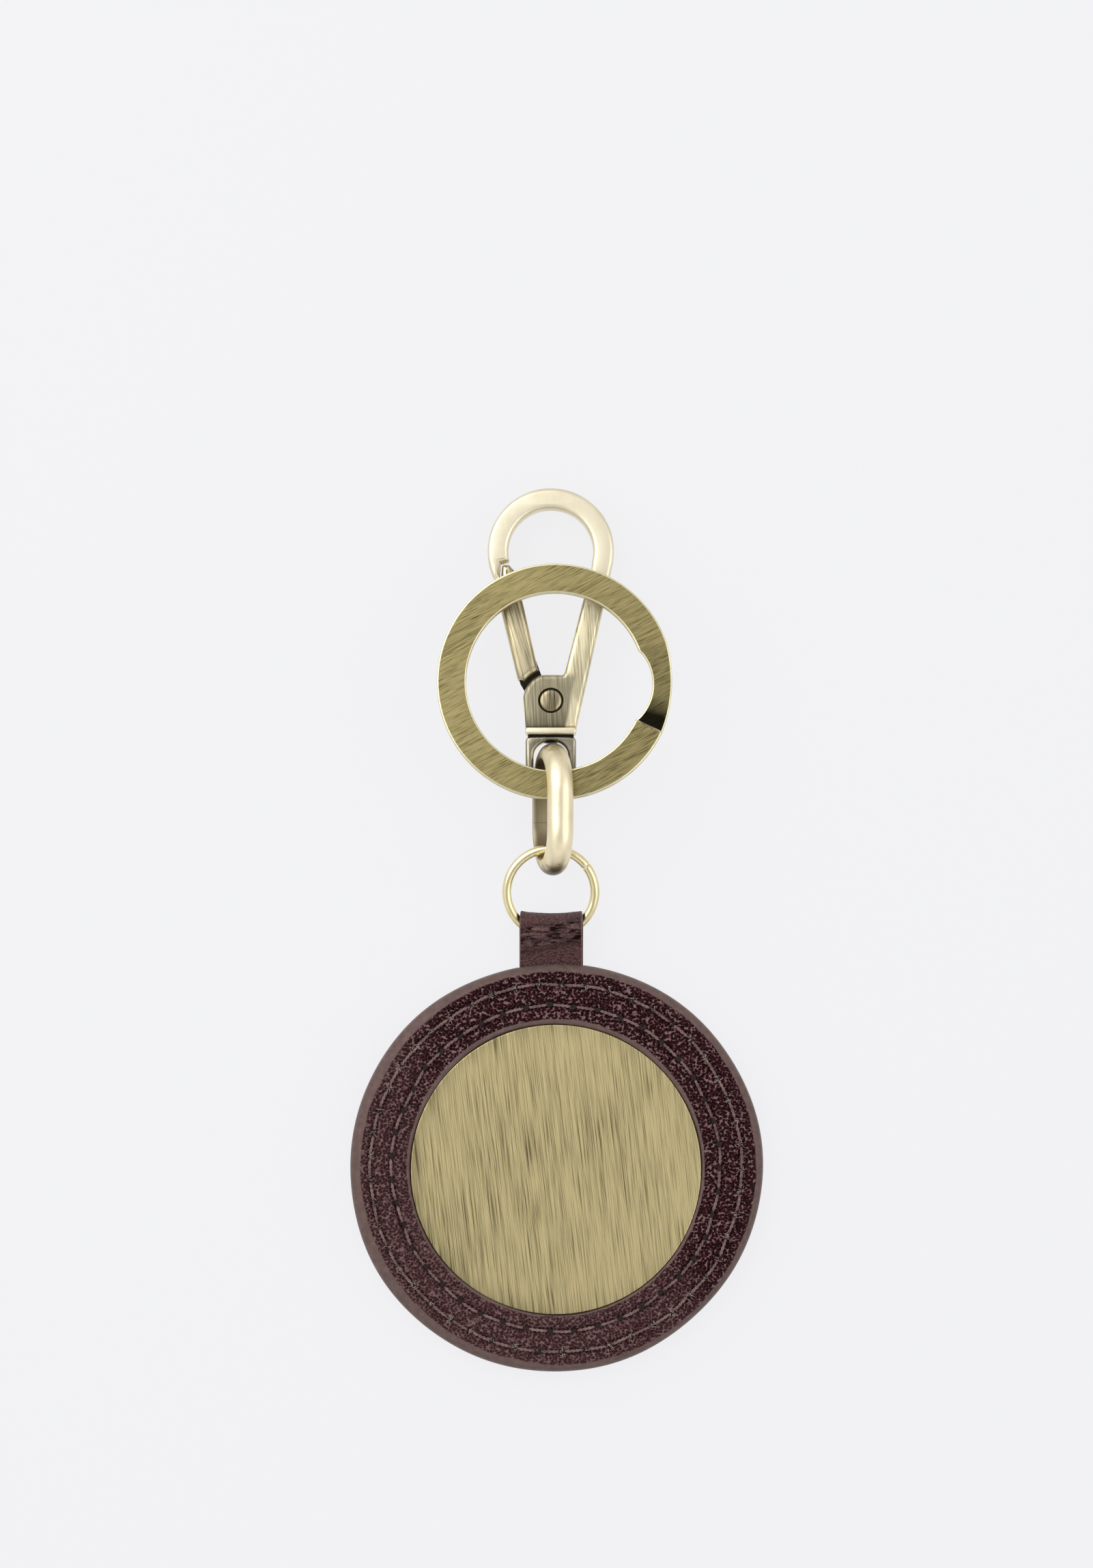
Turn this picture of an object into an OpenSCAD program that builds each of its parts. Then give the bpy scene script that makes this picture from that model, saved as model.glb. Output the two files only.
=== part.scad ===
// Keychain lying flat: swivel snap hook, flat split ring, oval connector link,
// round jump ring, leather strap and a stitched leather fob with a metal disc.
// Origin: centre of the fob's back face. +X across, +Y towards the hook, +Z up.

/* [Fob] */
// Radius of the leather fob
fob_r = 25.95; // [24:0.05:28]
// Thickness of each leather face
face_t = 1.2; // [0.9:0.1:1.6]
// Thickness of the board between the faces
core_t = 1.2; // [0.9:0.1:1.6]
// Radius of the round window in the front leather
window_r = 18.5; // [16:0.1:19.5]
// Thickness of the metal disc in the window
disc_t = 0.9; // [0.5:0.1:1.1]
// Radius of the outer row of stitches
stitch_outer_r = 23.4; // [22.8:0.1:23.8]
// Radius of the inner row of stitches
stitch_inner_r = 20.7; // [20:0.1:21.4]
// Distance between two stitches of a row
stitch_pitch = 3; // [2.4:0.1:4]

/* [Strap] */
// Width of the strap
strap_w = 8.1; // [6:0.1:9]
// Thickness of one ply of the strap
strap_t = 0.54; // [0.4:0.02:0.6]
// Distance of the strap loop from the fob's centre
loop_y = 30.45; // [30:0.05:31]
// Height of the middle of the strap loop
loop_z = 2.6; // [2.5:0.05:2.8]
// Sideways place of the strap and the hook
chain_x = -0.65; // [-1:0.05:0]

/* [Jump ring] */
// Middle radius of the jump ring
jump_r = 5.6; // [5.5:0.05:5.7]
// Radius of the jump ring's wire
jump_wire_r = 0.58; // [0.5:0.02:0.6]
// Tilt of the jump ring, its far side up
jump_tilt = 12; // [11:0.5:13]

/* [Connector link] */
// Length of the oval link
link_len = 16.8; // [16.5:0.1:16.8]
// Height of the oval link
link_h = 12.4; // [12:0.1:12.8]
// Width of the half-round wire
link_w = 3.3; // [3:0.1:3.3]
// Depth of the half-round wire
link_t = 1.85; // [1.8:0.05:1.9]
// Sideways lean of the link
link_lean = 12; // [8:1:13]
// Distance of the link's near end from the fob's centre
link_y0 = 37.2; // [37.2:0.01:37.3]

/* [Key ring] */
// Outer radius of the flat key ring
key_r = 15; // [14.5:0.1:15.5]
// Width of the flat strip
key_w = 3.7; // [3.2:0.1:3.8]
// Thickness of one turn of the strip
key_t = 1; // [0.8:0.05:1]
// Gap between the key ring and the hook under it
key_gap = 0.45; // [0.3:0.05:0.5]

/* [Snap hook] */
// Distance of the gate rivet from the fob's centre
hook_y = 59.28; // [59:0.01:59.5]
// Thickness of the hook
hook_t = 3.4; // [3.2:0.1:3.6]
// Outer radius of the round head
head_r = 8.03; // [7.8:0.01:8.2]
// Inner radius of the round head
head_in_r = 5.4; // [5:0.1:5.6]
// Tilt of the hook, its head down
hook_tilt = 4.5; // [4:0.1:5]
// Radius of the gate rivet's shank
rivet_r = 0.75; // [0.6:0.05:0.8]
// Radius of the gate rivet's heads
rivet_head_r = 1.42; // [1.2:0.02:1.5]

/* [Hidden] */
$fn = 64;
fob_t = 2 * face_t + core_t;
groove = 0.2;
thread = 0.5;
head_y = 19.1;
hook_z = (head_y + head_r) * sin(hook_tilt) + hook_t / 2 * cos(hook_tilt);
link_r = link_h / 2;
link_flat = link_r - link_t;
link_a = link_y0 + link_r;
link_b = link_y0 + link_len - link_r;
slot_t = 1.8;
tang_t = 1.6;
leather = "#3b2624";
brass = "#b5a77a";

// ---------- fob ----------
module ring_groove(r, z) {
  translate([0, 0, z]) difference() {
    cylinder(r = r + 0.4, h = 1);
    translate([0, 0, -1]) cylinder(r = r - 0.4, h = 3);
  }
}

module fob_back_leather() color(leather) difference() {
  cylinder(r = fob_r, h = face_t);
  ring_groove(stitch_outer_r, groove + 0.05 - 1);
  ring_groove(stitch_inner_r, groove + 0.05 - 1);
}

module fob_core_board() color("#8a6f55") difference() {
  translate([0, 0, face_t]) cylinder(r = fob_r - 0.35, h = core_t);
  translate([chain_x - strap_w / 2 - 0.1, 21.4, 0]) cube([strap_w + 0.2, 10, 10]);
}

module fob_front_leather() color(leather) difference() {
  translate([0, 0, face_t + core_t]) cylinder(r = fob_r, h = face_t);
  cylinder(r = window_r, h = 10);
  ring_groove(stitch_outer_r, fob_t - groove);
  ring_groove(stitch_inner_r, fob_t - groove);
}

module metal_disc() color(brass) translate([0, 0, face_t + core_t]) union() {
  cylinder(r = window_r - 0.1, h = disc_t - 0.2);
  translate([0, 0, disc_t - 0.2]) cylinder(r1 = window_r - 0.1, r2 = window_r - 0.3, h = 0.2);
}

module stitch_row(r) {
  count = round(2 * PI * r / stitch_pitch);
  for (i = [0 : count - 1]) rotate([0, 0, (i + 0.5) * 360 / count]) translate([r, 0, 0]) {
    translate([-thread / 2, -1.1, fob_t - groove]) cube([thread, 2.2, 0.3]);
    translate([-thread / 2, -1.1, 0.03]) cube([thread, 2.2, 0.22]);
  }
}

module outer_stitching() color("#6d4a48") stitch_row(stitch_outer_r);
module inner_stitching() color("#6d4a48") stitch_row(stitch_inner_r);

// ---------- strap ----------
loop_in = 1.82;
loop_out = loop_in + strap_t;
tail_z0 = face_t + 0.02;
tail_z1 = face_t + core_t - 0.02;

module strap_loop() color(leather)
  translate([chain_x + strap_w / 2, 0, 0]) rotate([90, 0, -90]) mirror([1, 0, 0])
    linear_extrude(strap_w) difference() {
      union() {
        translate([loop_y, loop_z]) circle(r = loop_out);
        polygon([[21.6, tail_z0], [26.2, tail_z0], [loop_y - 0.7, loop_z - loop_out + 0.15],
                 [loop_y - 0.7, loop_z + loop_out - 0.15], [26.2, tail_z1], [21.6, tail_z1]]);
      }
      translate([loop_y, loop_z]) circle(r = loop_in);
      polygon([[27.7, loop_z - 0.35], [loop_y - 0.75, loop_z - loop_in + 0.25],
               [loop_y - 0.75, loop_z + loop_in - 0.25]]);
    }

// ---------- jump ring: closed ring of round wire with a butt seam ----------
module jump_ring() color("#d0c38c")
  translate([chain_x, link_a - 2.85 - jump_r * cos(jump_tilt), 4.85 - jump_r * sin(jump_tilt)])
    rotate([jump_tilt, 0, 0]) rotate([0, 0, 38])
      rotate_extrude(angle = 358.8) translate([jump_r, 0]) circle(r = jump_wire_r);

// ---------- connector link: half-round wire bent to an oval ----------
module half_round() translate([link_r - link_w / 2, 0]) intersection() {
  circle(r = link_w / 2);
  translate([-(link_t - link_w / 2), -link_w]) square([link_w * 2, link_w * 2]);
}

module lean() translate([chain_x + 0.25, 0, link_r]) rotate([0, link_lean, 0]) children();

module connector_link() color("#cdbf8b") lean() difference() {
  rotate([90, 0, 90]) union() {
    translate([link_b, 0, 0]) rotate([0, 0, -90]) rotate_extrude(angle = 180) half_round();
    translate([link_a, 0, 0]) rotate([0, 0, 90]) rotate_extrude(angle = 180) half_round();
    for (s = [0, 1]) translate([link_a, 0, 0]) mirror([0, s, 0])
      rotate([0, 90, 0]) rotate([0, 0, 90]) linear_extrude(link_b - link_a) half_round();
  }
  translate([-5, 43.8, -link_r - 1]) cube([10, 0.12, link_t + 2]);
}

// ---------- snap hook, in its own plane: origin on the gate rivet ----------
module in_hook() translate([chain_x, hook_y, hook_z]) rotate([-hook_tilt, 0, 0]) children();
module plate(t) translate([0, 0, -t / 2]) linear_extrude(t) children();

module hook_outline() difference() {
  union() {
    translate([0, head_y]) circle(r = head_r);
    polygon([[1.76, 3.22], [3.0, 8], [5.3, 17.4], [7.4, 17], [7.45, 16], [6.54, 11.39],
             [4.1, 0.6], [3.22, -3.5], [-3.24, -3.5], [-3.5, 0.4], [0, 3.22]]);
    circle(r = 3.55);
  }
  translate([0, head_y]) circle(r = head_in_r);
  polygon([[-10, 7], [-10, 15.25], [-6.5, 15.25], [-6.4, 17.55], [-4.6, 17.9], [-4.4, 16.2],
           [4.99, 16.2], [1.76, 3.4], [1.5, 3.22], [0.9, 3.22], [0.6, 4.2], [-3, 7]]);
}

module hook_body() color(brass) in_hook() difference() {
  union() {
    plate(hook_t) hook_outline();
    translate([-3.25, -4.34, -2.05]) cube([6.5, 0.94, 4.1]);
  }
  plate(slot_t) {
    circle(r = 2.5);
    polygon([[-7, -0.6], [-7, 7], [1.7, 7], [1.7, 0.5], [0, -0.6]]);
  }
  translate([0, 0, -4]) cylinder(r = rivet_r, h = 8);
  for (s = [0, 1]) mirror([0, 0, s]) translate([0, 0, hook_t / 2 - 0.35])
    cylinder(r = rivet_head_r + 0.13, h = 2);
  translate([0, -5, 0]) rotate([-90, 0, 0]) cylinder(r = 0.87, h = 4);
  translate([0, -3.42, 0]) rotate([-90, 0, 0]) cylinder(r = 1.2, h = 2.4);
}

module gate_rivet() color(brass) in_hook() union() {
  translate([0, 0, -hook_t / 2 + 0.2]) cylinder(r = rivet_r, h = hook_t - 0.4);
  for (s = [0, 1]) mirror([0, 0, s]) translate([0, 0, hook_t / 2 - 0.35]) {
    cylinder(r = rivet_head_r, h = 0.3);
    translate([0, 0, 0.3]) cylinder(r1 = rivet_head_r, r2 = rivet_head_r - 0.22, h = 0.16);
  }
}

module hook_gate() color(brass) in_hook() difference() {
  union() {
    plate(tang_t) {
      circle(r = 2.3);
      polygon([[-2.2, 0.2], [-3.3, 3.9], [-1.6, 5], [-0.6, 2.1]]);
    }
    plate(3.1) difference() {
      polygon([[-4.15, 2.9], [-7.2, 15.05], [-6.3, 15.1], [-6.2, 17.3], [-5.2, 17.35],
               [-4.44, 16.5], [-1.62, 3.8], [-3, 3]]);
      circle(r = 4.1);
    }
  }
  translate([0, 0, -4]) cylinder(r = rivet_r + 0.04, h = 8);
  translate([0, 0, 0]) cylinder(r = 1.55, h = 2);
  translate([-1.3, -3, 0]) cube([2.6, 3, 2]);
}

// Torsion spring: turns of fine wire round the rivet and a leg on the slot's floor.
spring_wire = 0.11;
spring_r = 1.15;
spring_turns = 2;
spring_steps = 20;
function spring_point(a, k) = let (r = spring_r + spring_wire * cos(k))
  [r * cos(a), r * sin(a), 0.19 + 0.26 * a / 360 + spring_wire * sin(k)];

module gate_spring() color("#9a9a98") in_hook() {
  n = spring_turns * spring_steps;
  pts = [for (i = [0 : n]) for (k = [0 : 5]) spring_point(i * 360 / spring_steps, k * 60)];
  polyhedron(points = pts, faces = concat(
    [[for (k = [0 : 5]) k]], [[for (k = [5 : -1 : 0]) n * 6 + k]],
    [for (i = [0 : n - 1]) for (k = [0 : 5])
      [i * 6 + k, (i + 1) * 6 + k, (i + 1) * 6 + (k + 1) % 6, i * 6 + (k + 1) % 6]]), convexity = 6);
}

module swivel_eye() color("#77736a") in_hook() union() {
  difference() {
    plate(2.8) difference() {
      union() {
        translate([-3.2, -9.2]) square([6.4, 4.0]);
        translate([-2.3, -10.1]) square([4.6, 5.7]);
        translate([-2.3, -9.2]) circle(r = 0.9);
        translate([2.3, -9.2]) circle(r = 0.9);
        translate([-2.4, -5.2]) circle(r = 0.8);
        translate([2.4, -5.2]) circle(r = 0.8);
      }
      translate([-2.2, -9]) square([4.4, 3.87]);
    }
  }
  translate([0, -5.1, 0]) rotate([-90, 0, 0]) cylinder(r = 0.82, h = 2.2);
  translate([0, -3.38, 0]) rotate([-90, 0, 0]) cylinder(r = 1.12, h = 0.72);
}

// ---------- flat key ring: one strip wound twice, dipping under its own cut end ----------
ramp_from = -25;
ramp_to = 20;
ramp_steps = 9;
ramp_angle = (ramp_to - ramp_from) / ramp_steps;
function ramp_z(t) = (key_t + 0.05) * (3 * t * t - 2 * t * t * t);

module turn() rotate([0, 0, ramp_to]) rotate_extrude(angle = 360 - (ramp_to - ramp_from))
  translate([key_r - key_w, 0]) square([key_w, key_t]);

// One short stretch of the dip, bulging outwards on the inner side.
module ramp_step(i) {
  t = i / (ramp_steps - 1);
  bulge = 0.03 + 0.5 * sin(180 * t) + 0.02 * (i % 2);
  rotate([0, 0, ramp_from + i * ramp_angle - 0.3]) translate([0, 0, ramp_z(t)])
    rotate_extrude(angle = ramp_angle + 0.6) translate([key_r - key_w + bulge, 0])
      square([key_w - bulge - 0.03 - 0.02 * (i % 2), key_t]);
}

module split_key_ring() color(brass) in_hook()
  translate([0.55, 2.2, hook_t / 2 + key_gap]) union() {
    turn();
    for (i = [0 : ramp_steps - 1]) ramp_step(i);
    translate([0, 0, key_t + 0.05]) turn();
  }

fob_back_leather();
fob_core_board();
fob_front_leather();
metal_disc();
outer_stitching();
inner_stitching();
strap_loop();
jump_ring();
connector_link();
split_key_ring();
swivel_eye();
hook_body();
gate_rivet();
hook_gate();
gate_spring();
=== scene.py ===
import bpy, bmesh, math, random
from mathutils import Vector, Matrix, noise


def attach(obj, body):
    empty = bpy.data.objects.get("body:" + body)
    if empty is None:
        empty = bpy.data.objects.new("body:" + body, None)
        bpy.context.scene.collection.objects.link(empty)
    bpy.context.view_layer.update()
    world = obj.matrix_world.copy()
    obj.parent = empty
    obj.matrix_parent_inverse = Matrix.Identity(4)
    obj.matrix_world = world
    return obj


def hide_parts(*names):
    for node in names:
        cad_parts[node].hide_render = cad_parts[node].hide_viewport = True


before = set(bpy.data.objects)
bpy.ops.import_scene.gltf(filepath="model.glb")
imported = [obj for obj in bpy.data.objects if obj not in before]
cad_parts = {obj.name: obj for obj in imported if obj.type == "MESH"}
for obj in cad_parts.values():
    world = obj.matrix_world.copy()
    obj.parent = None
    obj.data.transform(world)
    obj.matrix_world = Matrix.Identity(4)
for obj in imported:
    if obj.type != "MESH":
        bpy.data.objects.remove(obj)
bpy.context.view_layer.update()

rnd = random.Random(7)
MM = 0.001
sin, cos, pi, rad = math.sin, math.cos, math.pi, math.radians

# ---------------------------------------------------------------- dimensions (mm), as in the CAD
FOB_R, FACE, CORE, WIN = 25.95, 1.2, 1.2, 18.5
FOB_T = 2 * FACE + CORE
WIDE, DROP = 1.010, 0.22
ROW_OUT, ROW_IN, PITCH = 23.4, 20.7, 3.0
CHAIN = -0.65
STRAP_W, STRAP_T, LOOP_Y, LOOP_Z, LOOP_R = 8.1, 0.54, 30.45, 2.6, 1.82
JUMP_R, JUMP_W, JUMP_TILT = 5.6, 0.58, rad(12)
LINK_R, LINK_W, LINK_T, LINK_LEAN = 6.2, 3.3, 1.85, rad(12)
LINK_A, LINK_B = 43.4, 47.8
HOOK_Y, HOOK_T, TILT, HEAD_Y, HEAD_R, HEAD_IN = 59.28, 3.4, rad(4.5), 19.1, 8.03, 5.4
HOOK_Z = (HEAD_Y + HEAD_R) * sin(TILT) + HOOK_T / 2 * cos(TILT)
KEY_R, KEY_W, KEY_T, KEY_GAP = 15.0, 3.7, 1.0, 0.45
HOOK = Matrix.Translation((CHAIN, HOOK_Y, HOOK_Z)) @ Matrix.Rotation(-TILT, 4, 'X')
KEY = HOOK @ Matrix.Translation((0.55, 2.2, HOOK_T / 2 + KEY_GAP))
LINK = Matrix.Translation((CHAIN + 0.25, 0, LINK_R)) @ Matrix.Rotation(LINK_LEAN, 4, 'Y')


# ---------------------------------------------------------------- node helpers
class Mat:
    """A small wrapper that keeps node building short."""

    def __init__(self, name):
        self.m = bpy.data.materials.new(name)
        self.m.use_nodes = True
        self.t = self.m.node_tree
        self.n, self.l = self.t.nodes, self.t.links
        self.b = self.n["Principled BSDF"]
        self.co = self.n.new("ShaderNodeTexCoord").outputs["Object"]

    def node(self, kind, **sockets):
        x = self.n.new(kind)
        for k, v in sockets.items():
            k = k.replace("_", " ")
            if isinstance(v, bpy.types.NodeSocket):
                self.l.new(v, x.inputs[k])
            else:
                x.inputs[k].default_value = v
        return x

    def math(self, op, a, b=None, clamp=False):
        x = self.n.new("ShaderNodeMath")
        x.operation, x.use_clamp = op, clamp
        for i, v in enumerate((a, b)):
            if v is None:
                continue
            if isinstance(v, bpy.types.NodeSocket):
                self.l.new(v, x.inputs[i])
            else:
                x.inputs[i].default_value = v
        return x.outputs[0]

    def mapping(self, scale, rot=(0, 0, 0), loc=(0, 0, 0), vec=None):
        x = self.node("ShaderNodeMapping", Vector=vec or self.co)
        x.inputs["Rotation"].default_value = rot
        x.inputs["Scale"].default_value = scale
        x.inputs["Location"].default_value = loc
        return x.outputs[0]

    def noise(self, vec, scale=1.0, detail=2.0, rough=0.5, dist=0.0):
        x = self.node("ShaderNodeTexNoise", Vector=vec, Scale=scale, Detail=detail, Roughness=rough, Distortion=dist)
        return x.outputs["Fac"]

    def voronoi(self, vec, scale=1.0, feature="F1", smooth=None):
        x = self.n.new("ShaderNodeTexVoronoi")
        x.feature = feature
        self.l.new(vec, x.inputs["Vector"])
        x.inputs["Scale"].default_value = scale
        if smooth is not None and feature == "SMOOTH_F1":
            x.inputs["Smoothness"].default_value = smooth
        return x.outputs["Distance"]

    def ramp(self, fac, stops, interp="LINEAR"):
        x = self.n.new("ShaderNodeValToRGB")
        x.color_ramp.interpolation = interp
        e = x.color_ramp.elements
        while len(e) < len(stops):
            e.new(0.5)
        for el, (p, c) in zip(e, stops):
            el.position = p
            el.color = (c, c, c, 1) if isinstance(c, (int, float)) else (*c, 1)
        self.l.new(fac, x.inputs["Fac"])
        return x.outputs["Color"]

    def mix(self, fac, a, b, mode="MIX"):
        x = self.n.new("ShaderNodeMix")
        x.data_type, x.blend_type = "RGBA", mode
        for i, v in ((0, fac), (6, a), (7, b)):
            if isinstance(v, bpy.types.NodeSocket):
                self.l.new(v, x.inputs[i])
            elif i == 0:
                x.inputs[0].default_value = v
            else:
                x.inputs[i].default_value = (*v, 1)
        return x.outputs[2]

    def bump(self, height, dist, strength=1.0, normal=None):
        x = self.node("ShaderNodeBump", Height=height, Distance=dist, Strength=strength)
        if normal is not None:
            self.l.new(normal, x.inputs["Normal"])
        return x.outputs[0]

    def out(self, **kw):
        for k, v in kw.items():
            k = k.replace("_", " ")
            if isinstance(v, bpy.types.NodeSocket):
                self.l.new(v, self.b.inputs[k])
            else:
                self.b.inputs[k].default_value = v
        return self.m


def srgb(r, g, b):
    f = lambda c: (c / 255 / 12.92) if c / 255 <= 0.04045 else ((c / 255 + 0.055) / 1.055) ** 2.4
    return (f(r), f(g), f(b))


# ---------------------------------------------------------------- materials
def brushed(name, angle, light, dark, rough=0.36, contrast=1.0, length=6.0, wave=0.0, shade=None, relief=0.000012, freq=1.0):
    """Brushed antique brass: fine and coarse scratches along one direction, dark oxide left in some of them."""
    m = Mat(name)
    base = m.mapping((1, 1, 1), (0, 0, angle))
    if wave:
        w = m.noise(m.mapping((120, 120, 120)), 1, 2)
        off = m.node("ShaderNodeVectorMath", Vector=base)
        off.operation = "ADD"
        comb = m.node("ShaderNodeCombineXYZ", X=m.math("MULTIPLY", w, wave))
        m.l.new(comb.outputs[0], off.inputs[1])
        base = off.outputs[0]
    fine = m.noise(m.mapping((8200 * freq, 8200 * freq / (length * 9), 900), vec=base), 1, 2, 0.6)
    mid = m.noise(m.mapping((4600 * freq, 4600 * freq / (length * 8), 500), vec=base), 1, 2, 0.6)
    wide = m.noise(m.mapping((900, 900 / (length * 2), 300), vec=base), 1, 3, 0.55)
    cloud = m.noise(m.mapping((75, 45, 90), (0, 0, angle)), 1, 4, 0.6)
    f = m.math("ADD", m.math("MULTIPLY", fine, 0.62 * contrast), m.math("MULTIPLY", mid, 0.34 * contrast))
    f = m.math("ADD", f, m.math("MULTIPLY", m.math("SUBTRACT", wide, 0.5), 0.06))
    f = m.math("ADD", f, m.math("MULTIPLY", m.math("SUBTRACT", cloud, 0.5), 0.24))
    f = m.math("ADD", f, 0.65 - 0.48 * contrast)
    lo, hi = 0.52, 0.77
    midc = tuple((a * 0.6 + b * 0.4) for a, b in zip(light, dark))
    col = m.ramp(f, [(lo - 0.04, dark), (0.5 * (lo + hi) - 0.005, midc), (hi, light)])
    pits = m.ramp(m.noise(m.mapping((2600, 700, 900), vec=base), 1, 3, 0.7), [(0.74, 0.0), (0.82, 1.0)])
    col = m.mix(m.math("MULTIPLY", pits, 0.15), col, tuple(c * 0.45 for c in dark))
    # shade(m) mixes in near-black: painted shadow on the key ring and painted shade at the disc's rim; on the hook it
    # gives the plate's darker finish and the arms' painted shade
    if shade:
        col = m.mix(shade(m), col, srgb(14, 12, 9))
    r = m.math("ADD", m.math("MULTIPLY", m.math("SUBTRACT", 0.7, f), 0.5), rough)
    nrm = m.bump(m.math("ADD", fine, m.math("MULTIPLY", mid, 1.3)), relief, 0.6)
    return m.out(Base_Color=col, Metallic=1.0, Roughness=r, Normal=nrm)


def polished(name, light, dark, rough=0.2, patina=0.5, shade=None, lined=0.4):
    """Plated brass: smooth, with faint drawing lines, cloudy patina and a few dark specks."""
    m = Mat(name)
    cloud = m.noise(m.mapping((260, 160, 260)), 1, 5, 0.6)
    lines = m.noise(m.mapping((3000, 140, 3000)), 1, 3, 0.6)
    speck = m.ramp(m.noise(m.mapping((1500, 1500, 1500)), 1, 3, 0.7), [(0.72, 0.0), (0.80, 1.0)])
    f = m.math("ADD", m.math("MULTIPLY", cloud, 1.0 - lined), m.math("MULTIPLY", lines, lined))
    col = m.ramp(f, [(0.34, tuple(l * (1 - patina) + d * patina for l, d in zip(light, dark))), (0.58, light)])
    col = m.mix(m.math("MULTIPLY", speck, 0.6), col, dark)
    # shade(m) mixes in a darkened tone: painted shade on the link and where the arms pass under the key ring, and the
    # arms' darker roots
    if shade:
        col = m.mix(shade(m), col, tuple(c * 0.32 for c in dark))
    r = m.math("ADD", m.math("MULTIPLY", m.math("SUBTRACT", 0.75, f), 0.35), rough)
    nrm = m.bump(lines, 0.000004, 0.4, m.bump(cloud, 0.00003, 0.3))
    return m.out(Base_Color=col, Metallic=1.0, Roughness=r, Normal=nrm)


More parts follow.
